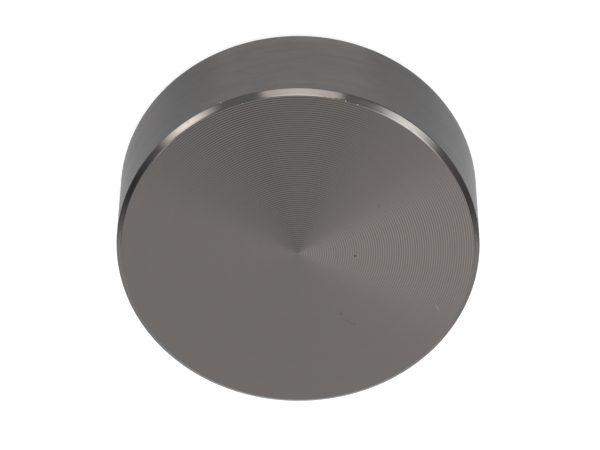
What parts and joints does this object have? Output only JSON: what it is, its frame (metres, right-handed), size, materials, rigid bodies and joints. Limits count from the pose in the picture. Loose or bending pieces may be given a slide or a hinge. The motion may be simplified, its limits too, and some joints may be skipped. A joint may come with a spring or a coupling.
{
  "type": "control knob",
  "caption": "Flat round control knob: a turned aluminium cap with a spun face and bright edge, over a moulded core that pushes onto a D-shaped shaft.",
  "frame": {"origin": "centre of the back rim's plane, on the knob's axis", "axes": "+Z along the knob's axis towards its face; the shaft's flat is on the +Y side"},
  "size_m": [0.041, 0.041, 0.013],
  "materials": {
    "anodised_cap": "spun and brushed, dark anodised, with a bright-cut edge",
    "moulded_core": "fine spark-eroded texture",
    "spring_steel": "rolled strip",
    "screw_steel": "zinc plated"
  },
  "bodies": {
    "root": {"cap": "anodised_cap", "core": "moulded_core", "clip_ring": "spring_steel", "cap_screws": "screw_steel"}
  },
  "joints": []
}
